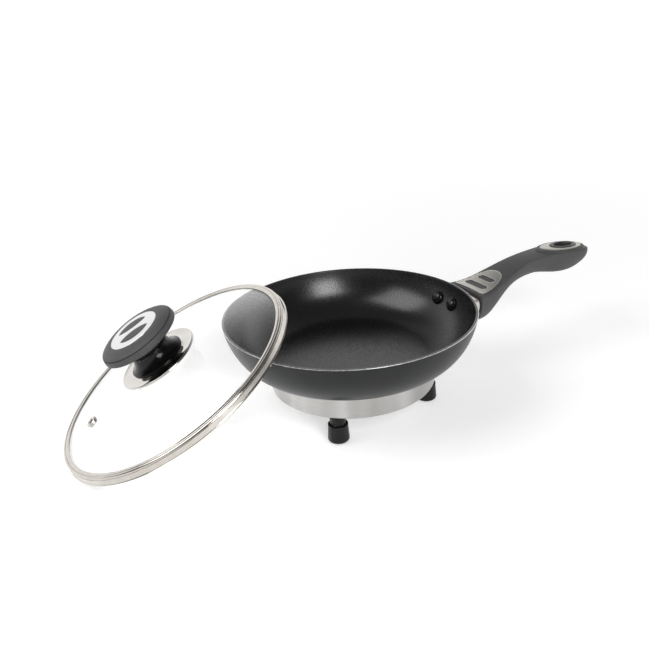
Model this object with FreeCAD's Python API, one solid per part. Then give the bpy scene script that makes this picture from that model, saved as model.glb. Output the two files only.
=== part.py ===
"""Electric frying pan with a leaning glass lid.

Millimetres, +Z up. The origin is on the table, on the axis of the round pan.
The handle points along +X and the mains inlet along +Y.
"""
import FreeCAD, Part

import math
import os

from FreeCAD import Placement, Rotation, Vector

# ---------------------------------------------------------------- driving dimensions
PAN_RIM_R = 120.0            # outside radius of the pan's rim
PAN_RIM_Z = 97.0
PAN_FLOOR_R = 73.3           # radius of the flat underside
PAN_UNDERSIDE_Z = 49.0
PAN_WALL = 3.0
PAN_FLOOR_THICK = 3.5

BASE_R = 79.8                # outside radius of the stainless base band
BASE_Z = 26.8                # lower edge of the band
SHEET = 0.8                  # sheet metal thickness of the base
FOOT_CIRCLE_R = 71.5
FOOT_ANGLES = (30.5, 131.7, 228.3, 329.5)
FERRULE_H = 17.8
FERRULE_R = 10.15
FOOT_STEM_R = 7.4

SPREADER_R = 65.5
SPREADER_THICK = 3.5
ELEMENT_R = 52.0             # radius of the heating ring
ELEMENT_TUBE_R = 3.3
PIN_SPREAD = 14.0            # the two power pins stand at x = +14 and -14
PIN_R = 2.5
PIN_ROOT_R = 2.2
PIN_TIP_Y = 94.0
PIN_Z = PAN_UNDERSIDE_Z - SPREADER_THICK - ELEMENT_TUBE_R
PROBE_R = 2.7                # bore of the sleeve that takes the thermostat probe
SLEEVE_R = 3.3
SLEEVE_MOUTH_Y = 84.0
INLET_HALF_W = 26.0
INLET_LOW_Z = 32.2
INLET_TOP_Z = 48.8
INLET_FLANGE_Y = 66.0
INLET_BACK_Y = 74.0          # floor of the inlet's socket
INLET_MOUTH_Y = 98.0

RIVET_Z = 79.5               # where the rivet axes cross the inside of the wall
RIVET_SPREAD = 11.6          # half the distance between the two rivets
RIVET_TILT = 20.0            # the wall leans out by this angle at the rivets
RIVET_HEAD_R = 6.8

HANDLE_MOUTH_X = 137.5
# x, height of the top, height of the underside, half width of the top face
HANDLE_STATIONS = (
    (137.5, 87.4, 53.6, 26.6),
    (146.5, 87.4, 53.8, 25.4),
    (156.0, 88.6, 57.3, 23.6),
    (166.0, 91.2, 65.2, 21.4),
    (178.0, 95.2, 75.0, 18.6),
    (192.0, 99.7, 82.0, 15.9),
    (208.0, 103.5, 85.1, 14.0),
    (224.0, 105.4, 85.4, 13.5),
    (240.0, 105.9, 82.5, 14.6),
    (256.0, 105.6, 79.4, 16.6),
    (272.0, 104.8, 79.7, 17.6),
    (285.0, 103.6, 83.5, 16.4),
    (295.0, 102.0, 89.0, 12.6),
    (301.0, 100.2, 94.0, 6.5),
)
COLLAR_WALL = 2.8
TANG_HALF_W = 7.0
HOLE_X = 270.6               # centre of the hanging hole
HOLE_HALF = (11.4, 6.4)      # half length and half width of the hole
EYELET_HALF = (17.0, 10.4)
RING_X = 267.2               # centre of the pale oval inlay round the hole
RING_HALF = (26.6, 14.2)
PAD_X = 266.5                # centre of the raised oval at the end of the handle
PAD_HALF = (33.0, 17.0)
PAD_RISE = 1.6

LID_R = 122.0                # outside radius of the lid's steel band
LID_TILT = 28.3              # lean of the lid from level
LID_TURN = 169.9             # compass direction in which the lid leans
LID_X = -162.7               # where the lid's axis meets its own zero height
LID_Y = 42.3
BAND_LOW_H = 1.3             # height of the band's lower edge along the lid's axis
LID_FLOOR_GAP = 0.15
GLASS_R = 118.0
GLASS_EDGE_H = 3.2           # height of the glass's lower edge along the lid's axis
GLASS_RISE = 21.0
GLASS_THICK = 4.0
UNDER_LIP_R = 114.4          # inner edge of the band under the glass
VENT_R = 81.5
VENT_ANGLE = 4.4

Z_AXIS = Vector(0, 0, 1)
CENTRE = Vector(0, 0, 0)
BIG = 400.0


# ---------------------------------------------------------------- helpers
def save(shape, name):
    """Write one node."""
    shape.exportStep("parts/" + name + ".step")


def spun(edges):
    """Turn a closed outline in the XZ plane round the Z axis."""
    return Part.Face(Part.Wire(edges)).revolve(CENTRE, Z_AXIS, 360)


def lathe(points):
    """Turn a polygon of (radius, height) corners round the Z axis."""
    corners = [Vector(r, 0, z) for r, z in points]
    corners.append(corners[0])
    return Part.Face(Part.makePolygon(corners)).revolve(CENTRE, Z_AXIS, 360)


def line(a, b):
    return Part.LineSegment(Vector(a[0], 0, a[1]), Vector(b[0], 0, b[1])).toShape()


def arc(a, b, c):
    """Arc through three (radius, height) points."""
    return Part.Arc(Vector(a[0], 0, a[1]), Vector(b[0], 0, b[1]), Vector(c[0], 0, c[1])).toShape()


def bezier(*poles):
    curve = Part.BezierCurve()
    curve.setPoles([Vector(r, 0, z) for r, z in poles])
    return curve.toShape()


def disc(radius, low, high, hole=0.0, x=0.0, y=0.0):
    """Upright round plate or ring."""
    solid = Part.makeCylinder(radius, high - low, Vector(x, y, low))
    if hole > 0:
        solid = solid.cut(Part.makeCylinder(hole, high - low, Vector(x, y, low)))
    return solid


def block(low, high):
    size = [b - a for a, b in zip(low, high)]
    return Part.makeBox(size[0], size[1], size[2], Vector(*low))


def rod(radius, start, end):
    """Cylinder between two points."""
    way = Vector(*end) - Vector(*start)
    return Part.makeCylinder(radius, way.Length, Vector(*start), way)


def moved(shape, x=0.0, y=0.0, z=0.0):
    copy = shape.copy()
    copy.translate(Vector(x, y, z))
    return copy


def polar(radius, angle):
    turn = math.radians(angle)
    return radius * math.cos(turn), radius * math.sin(turn)


def oval_prism(x, half, low, high):
    """Upright oval column standing on the handle's centre line."""
    ring = Part.Ellipse(Vector(x, 0, low), half[0], half[1]).toShape()
    return Part.Face(Part.Wire(ring)).extrude(Vector(0, 0, high - low))


def mirrored_y(shape):
    return shape.mirror(CENTRE, Vector(0, 1, 0))


# ---------------------------------------------------------------- pan
def outer_wall():
    """The bowl's outside curve, from the flat underside to the rim."""
    start = (PAN_FLOOR_R, PAN_UNDERSIDE_Z)
    end = (PAN_RIM_R, PAN_RIM_Z - 0.6)
    return bezier(start, (97.3, PAN_UNDERSIDE_Z), (115.0, 67.0), end)


def pan_outline_solid():
    """The bowl filled up solid, for trimming what bears on its outside."""
    start = (PAN_FLOOR_R, PAN_UNDERSIDE_Z)
    end = (PAN_RIM_R, PAN_RIM_Z - 0.6)
    edges = [outer_wall(), line(end, (0, end[1])), line((0, end[1]), (0, start[1]))]
    edges.append(line((0, start[1]), start))
    return spun(edges)


def rivet_frame(side):
    """Placement at a rivet, with local +Z pointing out of the pan."""
    radius = 111.9
    turn = math.degrees(math.asin(RIVET_SPREAD / radius)) * side
    x, y = polar(radius, turn)
    lean = Rotation(Vector(0, 1, 0), 90 + RIVET_TILT)
    spin = Rotation(Z_AXIS, turn)
    return Placement(Vector(x, y, RIVET_Z), spin.multiply(lean))


def placed(shape, placement):
    copy = shape.copy()
    copy.Placement = placement
    return copy


def rivet_holes(radius):
    column = Part.makeCylinder(radius, 40, Vector(0, 0, -14))
    return [placed(column, rivet_frame(side)) for side in (-1, 1)]


def pan_body():
    floor_z = PAN_UNDERSIDE_Z + PAN_FLOOR_THICK
    lip = (PAN_RIM_R - PAN_WALL + 0.3, PAN_RIM_Z - 0.8)
    rim_in = (PAN_RIM_R - 2.2, PAN_RIM_Z)
    rim_out = (PAN_RIM_R - 0.5, PAN_RIM_Z)
    top = (PAN_RIM_R, PAN_RIM_Z - 0.6)
    inner = bezier(lip, (112.4, 69.0), (95.8, floor_z), (PAN_FLOOR_R, floor_z))
    edges = [
        outer_wall(),
        line(top, rim_out),
        line(rim_out, rim_in),
        line(rim_in, lip),
        inner,
        line((PAN_FLOOR_R, floor_z), (0, floor_z)),
        line((0, floor_z), (0, PAN_UNDERSIDE_Z)),
        line((0, PAN_UNDERSIDE_Z), (PAN_FLOOR_R, PAN_UNDERSIDE_Z)),
    ]
    return spun(edges).cut(rivet_holes(2.55))


def handle_rivets():
    """Two domed rivets, with their heads inside the pan."""
    seat = -0.7
    crown = arc((0, seat - 3.4), (4.3, seat - 2.6), (RIVET_HEAD_R, seat - 0.4))
    edges = [
        crown,
        line((RIVET_HEAD_R, seat - 0.4), (RIVET_HEAD_R, seat)),
        line((RIVET_HEAD_R, seat), (2.5, seat)),
        line((2.5, seat), (2.5, 6.2)),
        line((2.5, 6.2), (4.3, 6.2)),
        line((4.3, 6.2), (3.4, 7.8)),
        line((3.4, 7.8), (0, 7.8)),
        line((0, 7.8), (0, seat - 3.4)),
    ]
    rivet = spun(edges)
    return Part.makeCompound([placed(rivet, rivet_frame(side)) for side in (-1, 1)])


# ---------------------------------------------------------------- heater and base
def heat_spreader():
    return disc(SPREADER_R, PAN_UNDERSIDE_Z - SPREADER_THICK, PAN_UNDERSIDE_Z)


def element_path():
    """Centre line of the heating tube: an open ring whose ends turn out to the inlet."""
    bend = 10.0
    reach = ELEMENT_R + bend
    gap = math.asin((PIN_SPREAD + bend) / reach)

    def at(x, y):
        return Vector(x, y, PIN_Z)

    def ring(angle):
        return at(ELEMENT_R * math.sin(angle), ELEMENT_R * math.cos(angle))

    def elbow(side, turn):
        centre_x = side * reach * math.sin(gap)
        centre_y = reach * math.cos(gap)
        return at(centre_x - side * bend * math.cos(turn), centre_y - bend * math.sin(turn))

    bend_end = math.pi / 2 - gap
    tip_y = INLET_FLANGE_Y - 6.0
    left_out = at(-PIN_SPREAD, tip_y)
    right_out = at(PIN_SPREAD, tip_y)
    edges = [
        Part.LineSegment(left_out, elbow(-1, 0)).toShape(),
        Part.Arc(elbow(-1, 0), elbow(-1, bend_end / 2), ring(-gap)).toShape(),
        Part.Arc(ring(-gap), ring(math.pi), ring(gap)).toShape(),
        Part.Arc(ring(gap), elbow(1, bend_end / 2), elbow(1, 0)).toShape(),
        Part.LineSegment(elbow(1, 0), right_out).toShape(),
    ]
    return Part.Wire(edges), left_out


def heating_element():
    path, start = element_path()
    profile = Part.Wire(Part.Circle(start, Vector(0, 1, 0), ELEMENT_TUBE_R).toShape())
    return path.makePipeShell([profile], True, False)


def at_pins(shape):
    """The same piece at both power pins."""
    return Part.makeCompound([moved(shape, x=side * PIN_SPREAD) for side in (-1, 1)])


def power_pins():
    """Round contact pins, thinner where they run back to the heating tube."""
    root = rod(PIN_ROOT_R, (0, INLET_FLANGE_Y - 6.0, PIN_Z), (0, INLET_BACK_Y, PIN_Z))
    body = rod(PIN_R, (0, INLET_BACK_Y, PIN_Z), (0, PIN_TIP_Y - 2, PIN_Z))
    nose = Part.makeCone(PIN_R, PIN_R - 0.9, 2, Vector(0, PIN_TIP_Y - 2, PIN_Z), Vector(0, 1, 0))
    return at_pins(root.fuse([body, nose]).removeSplitter())


def ceramic_beads():
    start = INLET_FLANGE_Y - 6.0
    bead = rod(3.2, (0, start, PIN_Z), (0, INLET_FLANGE_Y, PIN_Z))
    return at_pins(bead.cut(rod(PIN_ROOT_R, (0, start, PIN_Z), (0, INLET_FLANGE_Y, PIN_Z))))


def probe_sleeve():
    """Blind tube that guides the control plug's sensing rod under the pan."""
    start = (0, 14, PIN_Z)
    mouth = (0, SLEEVE_MOUTH_Y, PIN_Z)
    tube = rod(SLEEVE_R, start, mouth)
    return tube.cut(rod(PROBE_R, (0, 16, PIN_Z), mouth))


def inlet_shroud():
    """Open box round the pins, with a flange behind the base band."""
    wall = 1.8
    outer = block((-INLET_HALF_W, INLET_FLANGE_Y, INLET_LOW_Z), (INLET_HALF_W, INLET_MOUTH_Y, INLET_TOP_Z))
    upright = [edge for edge in outer.Edges if abs(edge.tangentAt(edge.FirstParameter).y) > 0.9]
    outer = outer.makeFillet(3.0, upright)
    flange = block((-33, INLET_FLANGE_Y, 34), (33, INLET_FLANGE_Y + 2, 44))
    low = (-INLET_HALF_W + wall, INLET_BACK_Y, INLET_LOW_Z + wall)
    high = (INLET_HALF_W - wall, INLET_MOUTH_Y, INLET_TOP_Z - wall)
    shell = outer.fuse(flange).cut(block(low, high))
    cuts = [rod(SLEEVE_R, (0, 60, PIN_Z), (0, 80, PIN_Z))]
    for side in (-1, 1):
        cuts.append(rod(PIN_ROOT_R, (side * PIN_SPREAD, 60, PIN_Z), (side * PIN_SPREAD, 80, PIN_Z)))
        cuts.append(rod(1.6, (side * 29.8, 60, 39), (side * 29.8, 70, 39)))
    return shell.cut(cuts).removeSplitter()


def earth_contact():
    """Sprung earth strip along the bottom of the inlet."""
    low = INLET_LOW_Z + 1.8
    strip = block((-4, INLET_BACK_Y, low), (4, 93, low + 0.8))
    hump = Part.makeCylinder(3.0, 8, Vector(-4, 86, low - 0.6), Vector(1, 0, 0))
    return strip.fuse(hump.common(block((-4, 80, low), (4, 92, low + 4)))).removeSplitter()


def inlet_brackets():
    """Two angle brackets that carry the inlet on the bottom cover."""
    low = BASE_Z + 2 * SHEET
    foot = block((26.6, 55, low), (33, INLET_FLANGE_Y, low + 1.4))
    tab = block((26.6, INLET_FLANGE_Y - 1.4, low), (33, INLET_FLANGE_Y, 43))
    angle = foot.fuse(tab).removeSplitter().cut(rod(1.6, (29.8, 60, 39), (29.8, 70, 39)))
    return Part.makeCompound([angle, angle.mirror(CENTRE, Vector(1, 0, 0))])


def inlet_screws():
    screws = []
    for side in (-1, 1):
        x = side * 29.8
        shank = rod(1.6, (x, INLET_FLANGE_Y - 4, 39), (x, INLET_FLANGE_Y + 2, 39))
        head = rod(2.9, (x, INLET_FLANGE_Y + 2, 39), (x, INLET_FLANGE_Y + 3.6, 39))
        slot = block((x - 3, INLET_FLANGE_Y + 2.9, 38.6), (x + 3, INLET_FLANGE_Y + 4, 39.4))
        screws.append(shank.fuse(head).removeSplitter().cut(slot))
    return Part.makeCompound(screws)


def centre_stud():
    """Stud under the spreader plate that holds the base on."""
    top = PAN_UNDERSIDE_Z - SPREADER_THICK
    return disc(7.0, top - 1.5, top).fuse(disc(3.0, 19.5, top - 1.5)).removeSplitter()


def centre_nut():
    low = BASE_Z + SHEET - 1.2 - 5.0
    across = 5.77
    corners = [Vector(*polar(across, 60 * i), low) for i in range(7)]
    hexagon = Part.Face(Part.makePolygon(corners)).extrude(Vector(0, 0, 5.0))
    return hexagon.cut(disc(3.0, low, low + 5.0))


def centre_washer():
    high = BASE_Z + SHEET
    return disc(9.0, high - 1.2, high, hole=3.2)


def reflector_plate():
    """Bright plate under the element that throws the heat back up."""
    plate = lathe([(3.2, 32.4), (73.0, 32.4), (75.2, 36.4), (74.4, 36.7), (72.5, 33.1), (3.2, 33.1)])
    plate = plate.cut(block((-37, 50, 30), (37, 80, 40)))
    tops = [disc(5.2, 30, 40, x=x, y=y) for x, y in foot_spots()]
    return plate.cut(tops)


def base_skirt():
    """Brushed stainless band with a turned-in lower edge."""
    top_z = PAN_UNDERSIDE_Z + 0.25
    inner = BASE_R - SHEET
    edges = [
        arc((BASE_R - 1.6, BASE_Z), (BASE_R - 0.47, BASE_Z + 0.47), (BASE_R, BASE_Z + 1.6)),
        line((BASE_R, BASE_Z + 1.6), (BASE_R, top_z)),
        line((BASE_R, top_z), (inner, top_z)),
        line((inner, top_z), (inner, BASE_Z + 1.6)),
        arc((inner, BASE_Z + 1.6), (BASE_R - 1.03, BASE_Z + 1.03), (BASE_R - 1.6, BASE_Z + SHEET)),
        line((BASE_R - 1.6, BASE_Z + SHEET), (60, BASE_Z + SHEET)),
        line((60, BASE_Z + SHEET), (60, BASE_Z)),
        line((60, BASE_Z), (BASE_R - 1.6, BASE_Z)),
    ]
    gate = INLET_HALF_W + 0.3
    band = spun(edges).cut(block((-gate, 60, INLET_LOW_Z - 0.3), (gate, 90, top_z)))
    return band.cut([disc(2.1, 20, 40, x=x, y=y) for x, y in foot_spots()])


def bottom_cover():
    """Steel plate inside the band's lower edge, with slots that let the heat out."""
    low = BASE_Z + SHEET
    plate = disc(77.0, low, low + SHEET, hole=3.1)
    cuts = [disc(2.1, 20, 40, x=x, y=y) for x, y in foot_spots()]
    for i in range(12):
        slot = block((24, -2, 20), (48, 2, 40))
        slot.rotate(CENTRE, Z_AXIS, 30 * i + 15)
        cuts.append(slot)
    return plate.cut(cuts)


def foot_spots():
    return [polar(FOOT_CIRCLE_R, angle) for angle in FOOT_ANGLES]


def at_feet(shape):
    return Part.makeCompound([moved(shape, x, y) for x, y in foot_spots()])


def foot_stems():
    stem = disc(FOOT_STEM_R, 3.0, BASE_Z - 1.0).fuse(disc(FOOT_STEM_R + 0.6, BASE_Z - 1.0, BASE_Z))
    return at_feet(stem.removeSplitter().cut(disc(2.0, 12.0, BASE_Z)))


def foot_ferrules():
    """Open-topped rubber shoes on the stems, a little wider at the bottom."""
    mouth_r = 9.3
    edges = [
        line((0, 0), (FERRULE_R - 3.4, 0)),
        arc((FERRULE_R - 3.4, 0), (FERRULE_R - 0.9, 1.1), (FERRULE_R, 3.8)),
        line((FERRULE_R, 3.8), (mouth_r, FERRULE_H - 0.5)),
        arc((mouth_r, FERRULE_H - 0.5), (mouth_r - 0.5, FERRULE_H), (mouth_r - 1.0, FERRULE_H - 0.5)),
        line((mouth_r - 1.0, FERRULE_H - 0.5), (FOOT_STEM_R, 9.0)),
        line((FOOT_STEM_R, 9.0), (FOOT_STEM_R, 3.0)),
        line((FOOT_STEM_R, 3.0), (0, 3.0)),
        line((0, 3.0), (0, 0)),
    ]
    return at_feet(spun(edges))


def foot_screws():
    """Screws from inside the base down into the stems."""
    seat = BASE_Z + 2 * SHEET
    head = lathe([(0, seat), (4.0, seat), (4.0, seat + 1.2), (2.6, seat + 2.4), (0, seat + 2.4)])
    screw = disc(2.0, 12.5, seat).fuse(head).removeSplitter()
    slot_floor = seat + 1.4
    slot_top = seat + 3
    cross = [
        block((-2, -0.5, slot_floor), (2, 0.5, slot_top)),
        block((-0.5, -2, slot_floor), (0.5, 2, slot_top)),
    ]
    return at_feet(screw.cut(cross))


# ---------------------------------------------------------------- handle
def handle_section(x, top, low, half, shrink=0.0):
    """Closed outline across the handle: crowned top, bulged sides, rounded underside."""
    thick = top - low
    half = half - shrink
    top = top - shrink
    low = low + shrink
    crown = 0.06 * half
    chine = 0.30 * thick
    low_half = 0.74 * half
    waist_z = top - 0.42 * thick
    left_top = Vector(x, -half, top - crown)
    right_top = Vector(x, half, top - crown)
    left_low = Vector(x, -low_half, low + chine * 0.45)
    right_low = Vector(x, low_half, low + chine * 0.45)
    edges = [
        Part.Arc(left_top, Vector(x, 0, top), right_top).toShape(),
        Part.Arc(right_top, Vector(x, half * 1.02 + 0.2, waist_z), right_low).toShape(),
        Part.Arc(right_low, Vector(x, 0, low), left_low).toShape(),
        Part.Arc(left_low, Vector(x, -half * 1.02 - 0.2, waist_z), left_top).toShape(),
    ]
    return Part.Wire(edges)


def handle_blank():
    sections = [handle_section(*station) for station in HANDLE_STATIONS]
    return Part.makeLoft(sections, True, False)


def collar_core(shrink, start, end):
    """Plug that follows the inside of the handle's mouth."""
    first = HANDLE_STATIONS[0]
    last = HANDLE_STATIONS[2]
    sections = [
        handle_section(start, first[1], first[2], first[3], shrink),
        handle_section(HANDLE_MOUTH_X, first[1], first[2], first[3], shrink),
        handle_section(end, last[1] - 1.0, last[2] + 1.0, last[3] - 1.0, shrink),
    ]
    return Part.makeLoft(sections, True, True)


def tang():
    """Flat steel bar that runs from the pan into the handle."""
    side = [(112, 76.4), (150, 76.4), (214, 92.4), (212.8, 97.2), (149, 81.4), (112, 81.4)]
    corners = [Vector(x, -TANG_HALF_W, z) for x, z in side]
    corners.append(corners[0])
    return Part.Face(Part.makePolygon(corners)).extrude(Vector(0, 2 * TANG_HALF_W, 0))


def handle_bracket(pan_solid):
    """Curved plate riveted to the pan's wall, with the tang welded to it."""
    pad = moved(pan_solid, x=2.3).common(block((60, -19, 66.5), (130, 19, 89)))
    plate = pad.fuse(tang()).removeSplitter().cut(pan_solid)
    plate = plate.cut(rivet_holes(2.5))
    return plate.cut(rod(2.0, (196, 0, 80), (196, 0, 110)))


def flame_guard(pan_solid, bracket):
    """Bright steel sleeve that closes the gap between the pan and the handle."""
    sleeve = collar_core(COLLAR_WALL + 0.1, 108.0, 154.0).cut(collar_core(COLLAR_WALL + 1.1, 107.0, 154.5))
    near_pan = pan_solid.copy()
    grown = moved(near_pan, x=3.4)
    return sleeve.cut(grown).cut(bracket)


def shield_prism():
    """Rounded shield outline of the pale plate behind the handle's mouth."""
    front = HANDLE_MOUTH_X + 3.4
    curve = Part.BSplineCurve()
    rim = [(front, 0), (front, 17.6), (front + 1.6, 20.8), (front + 6.0, 21.4), (159.5, 18.9)]
    rim += [(170.5, 14.8), (177.2, 8.6), (179.4, 0)]
    far_side = [Vector(x, y, 70) for x, y in rim]
    near_side = [Vector(x, -y, 70) for x, y in rim[1:-1]]
    curve.interpolate(far_side + near_side[::-1], PeriodicFlag=True)
    return Part.Face(Part.Wire(curve.toShape())).extrude(Vector(0, 0, 50))


def slot_prism(x, half_length, half_width):
    """Upright slot with round ends, across the handle."""
    reach = half_length - half_width
    ends = [disc(half_width, 70, 120, x=x, y=side * reach) for side in (-1, 1)]
    return block((x - half_width, -reach, 70), (x + half_width, reach, 120)).fuse(ends)


def top_skin(blank, rise, depth):
    """The layer of the handle's upper surface between two heights."""
    return moved(blank, z=rise).cut(moved(blank, z=-depth))


def handle_inlay_plate(blank):
    layer = top_skin(blank, 0.5, 0.9).common(shield_prism())
    windows = [slot_prism(151.6, 15.4, 4.2), slot_prism(165.0, 11.4, 3.5)]
    return layer.cut(windows)


def handle_end_ring(blank):
    layer = top_skin(blank, PAD_RISE + 0.25, 0.8 - PAD_RISE)
    ring = oval_prism(RING_X, RING_HALF, 70, 120).cut(oval_prism(HOLE_X, EYELET_HALF, 60, 130))
    return layer.common(ring)


def hanging_eyelet(blank):
    """Dark oval bush that lines the hanging hole."""
    tube_half = (HOLE_HALF[0] + 2.0, HOLE_HALF[1] + 2.0)
    rim = top_skin(blank, PAD_RISE + 1.1, 1.0 - PAD_RISE).common(oval_prism(HOLE_X, EYELET_HALF, 70, 120))
    tube = blank.fuse(moved(blank, z=PAD_RISE)).common(oval_prism(HOLE_X, tube_half, 70, 120))
    return rim.fuse(tube).removeSplitter().cut(oval_prism(HOLE_X, HOLE_HALF, 60, 130))


def handle_screw():
    low = 83.4
    head = rod(3.7, (196, 0, low), (196, 0, low + 2.6))
    shank = rod(2.0, (196, 0, low + 2.6), (196, 0, 92.0))
    cross = [
        block((192, -0.5, low - 1), (200, 0.5, low + 1)),
        block((195.5, -4, low - 1), (196.5, 4, low + 1)),
    ]
    return head.fuse(shank).removeSplitter().cut(cross)


def handle_grip(blank, inlays):
    """Moulded grip with a mouth for the guard, a slot for the tang and seats for its inlays."""
    pad = moved(blank, z=PAD_RISE).common(oval_prism(PAD_X, PAD_HALF, 90, 120))
    grip = blank.fuse(pad)
    grip = grip.cut(collar_core(COLLAR_WALL, HANDLE_MOUTH_X - 4.0, 154.0))
    grip = grip.cut(tang())
    grip = grip.cut(rod(2.1, (196, 0, 70), (196, 0, 92.0)))
    grip = grip.cut(rod(3.8, (196, 0, 70), (196, 0, 86.0)))
    return grip.cut(inlays)


# ---------------------------------------------------------------- lid
def lid_place():
    """Placement of the leaning lid, whose own axis is its local +Z."""
    tilt = math.radians(LID_TILT)
    height = LID_FLOOR_GAP + LID_R * math.sin(tilt) - BAND_LOW_H * math.cos(tilt)
    lean = Rotation(Vector(0, 1, 0), LID_TILT)
    spin = Rotation(Z_AXIS, LID_TURN)
    return Placement(Vector(LID_X, LID_Y, height), spin.multiply(lean))


def glass_top(radius):
    """Height of the glass's upper surface."""
    return GLASS_EDGE_H + GLASS_THICK + GLASS_RISE * (1 - (radius / GLASS_R) ** 2)


def dome_arc(offset, inner):
    """Arc that follows the glass from its edge to a radius near the middle."""
    middle = GLASS_R * 0.7
    points = [(r, glass_top(r) + offset) for r in (GLASS_R, middle, inner)]
    return arc(*points), points[0], points[2]


def vent_place():
    slope = 2 * GLASS_RISE * VENT_R / GLASS_R ** 2
    lean = Rotation(Vector(0, 1, 0), math.degrees(math.atan(slope)))
    spin = Rotation(Z_AXIS, VENT_ANGLE)
    return Placement(Vector(*polar(VENT_R, VENT_ANGLE), glass_top(VENT_R)), spin.multiply(lean))


def lid_glass():
    hole = 4.0
    upper, edge_top, middle_top = dome_arc(0, hole)
    lower, edge_low, middle_low = dome_arc(-GLASS_THICK, hole)
    edges = [upper, line(middle_top, middle_low), lower, line(edge_low, edge_top)]
    vent_hole = placed(Part.makeCylinder(3.5, 20, Vector(0, 0, -10)), vent_place())
    return spun(edges).cut(vent_hole)


def lid_band():
    """Stainless channel rolled round the edge of the glass."""
    skin = 0.06
    lip_r = 114.2
    low = BAND_LOW_H
    edge_r = GLASS_R + skin
    under = GLASS_EDGE_H - skin
    edges = [
        line((119.6, low), (LID_R, low)),
        line((LID_R, low), (LID_R, low + 0.6)),
        arc((LID_R, low + 0.6), (LID_R - 0.75, low + 1.0), (LID_R - 1.05, low + 1.9)),
        line((LID_R - 1.05, low + 1.9), (120.6, 7.0)),
        arc((120.6, 7.0), (120.2, 7.45), (120.55, 7.9)),
        arc((120.55, 7.9), (119.8, 8.95), (118.4, 9.25)),
        line((118.4, 9.25), (lip_r + 0.3, glass_top(lip_r) + 0.75)),
        line((lip_r + 0.3, glass_top(lip_r) + 0.75), (lip_r, glass_top(lip_r) + skin)),
        line((lip_r, glass_top(lip_r) + skin), (edge_r, glass_top(GLASS_R) + skin)),
        line((edge_r, glass_top(GLASS_R) + skin), (edge_r, under)),
        line((edge_r, under), (UNDER_LIP_R, glass_top(UNDER_LIP_R) - GLASS_THICK - skin)),
        line((UNDER_LIP_R, glass_top(UNDER_LIP_R) - GLASS_THICK - skin), (UNDER_LIP_R, 3.8)),
        line((UNDER_LIP_R, 3.8), (118.0, 2.85)),
        line((118.0, 2.85), (119.6, 2.85)),
        line((119.6, 2.85), (119.6, low)),
    ]
    return spun(edges)


def steam_vent():
    """Eyelet through the glass that lets the steam out."""
    upper = arc((5.6, 0.1), (5.2, 0.95), (3.6, 1.1))
    edges = [
        line((2.2, -GLASS_THICK - 1.0), (2.2, 0.6)),
        arc((2.2, 0.6), (2.6, 1.05), (3.6, 1.1)),
        upper,
        line((5.6, 0.1), (3.4, 0.1)),
        line((3.4, 0.1), (3.4, -GLASS_THICK - 0.2)),
        line((3.4, -GLASS_THICK - 0.2), (5.2, -GLASS_THICK - 0.2)),
        line((5.2, -GLASS_THICK - 0.2), (5.0, -GLASS_THICK - 1.0)),
        line((5.0, -GLASS_THICK - 1.0), (2.2, -GLASS_THICK - 1.0)),
    ]
    return placed(spun(edges), vent_place())


KNOB_SEAT_H = 28.45          # top of the glass's middle


def knob_skirt():
    """Polished dished plate between the glass and the knob."""
    edges = [
        line((2.7, KNOB_SEAT_H), (8.0, KNOB_SEAT_H)),
        arc((8.0, KNOB_SEAT_H), (24.0, 27.6), (37.0, 26.35)),
        arc((37.0, 26.35), (38.5, 27.4), (37.0, 28.6)),
        arc((37.0, 28.6), (32.0, 27.95), (26.2, 28.7)),
        line((26.2, 28.7), (2.7, 30.2)),
        line((2.7, 30.2), (2.7, KNOB_SEAT_H)),
    ]
    return spun(edges)


def knob_stem():
    """Flared black stem under the knob."""
    edges = [
        line((2.5, 30.25), (25.8, 28.8)),
        arc((25.8, 28.8), (26.3, 29.6), (25.6, 30.3)),
        arc((25.6, 30.3), (20.6, 34.6), (19.4, 44.6)),
        line((19.4, 44.6), (2.5, 44.6)),
        line((2.5, 44.6), (2.5, 30.25)),
    ]
    return spun(edges)


def knob_cap():
    """Soft-touch mushroom cap with a groove round its side."""
    seat_r = 24.2
    edges = [
        line((0, 44.6), (19.4, 44.6)),
        arc((19.4, 44.6), (25.0, 49.3), (35.2, 52.2)),
        arc((35.2, 52.2), (37.2, 53.2), (37.6, 55.2)),
        line((37.6, 55.2), (36.9, 58.3)),
        line((36.9, 58.3), (36.0, 58.7)),
        line((36.0, 58.7), (36.2, 59.5)),
        arc((36.2, 59.5), (31.0, 61.9), (seat_r, 63.1)),
        line((seat_r, 63.1), (seat_r, 62.1)),
        line((seat_r, 62.1), (0, 62.1)),
        line((0, 62.1), (0, 44.6)),
    ]
    return spun(edges).cut(disc(2.5, 44.0, 54.0))


def knob_inlay():
    """Silver disc let into the knob, with two leaf-shaped seats."""
    edges = [
        line((0, 62.1), (24.1, 62.1)),
        line((24.1, 62.1), (24.1, 63.1)),
        arc((24.1, 63.1), (12.0, 63.9), (0, 64.1)),
        line((0, 64.1), (0, 62.1)),
    ]
    return spun(edges).cut(leaf_prisms())


def leaf_prisms():
    """Two leaves, one on each side of the knob's middle."""
    leaves = []
    for side in (-1, 1):
        tip = Vector(-14.5, side * 8.0, 62.6)
        tail = Vector(14.5, side * 8.0, 62.6)
        edges = [
            Part.Arc(tip, Vector(0, side * 3.0, 62.6), tail).toShape(),
            Part.Arc(tail, Vector(0, side * 17.0, 62.6), tip).toShape(),
        ]
        leaves.append(Part.Face(Part.Wire(edges)).extrude(Vector(0, 0, 8)))
    return leaves


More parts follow.
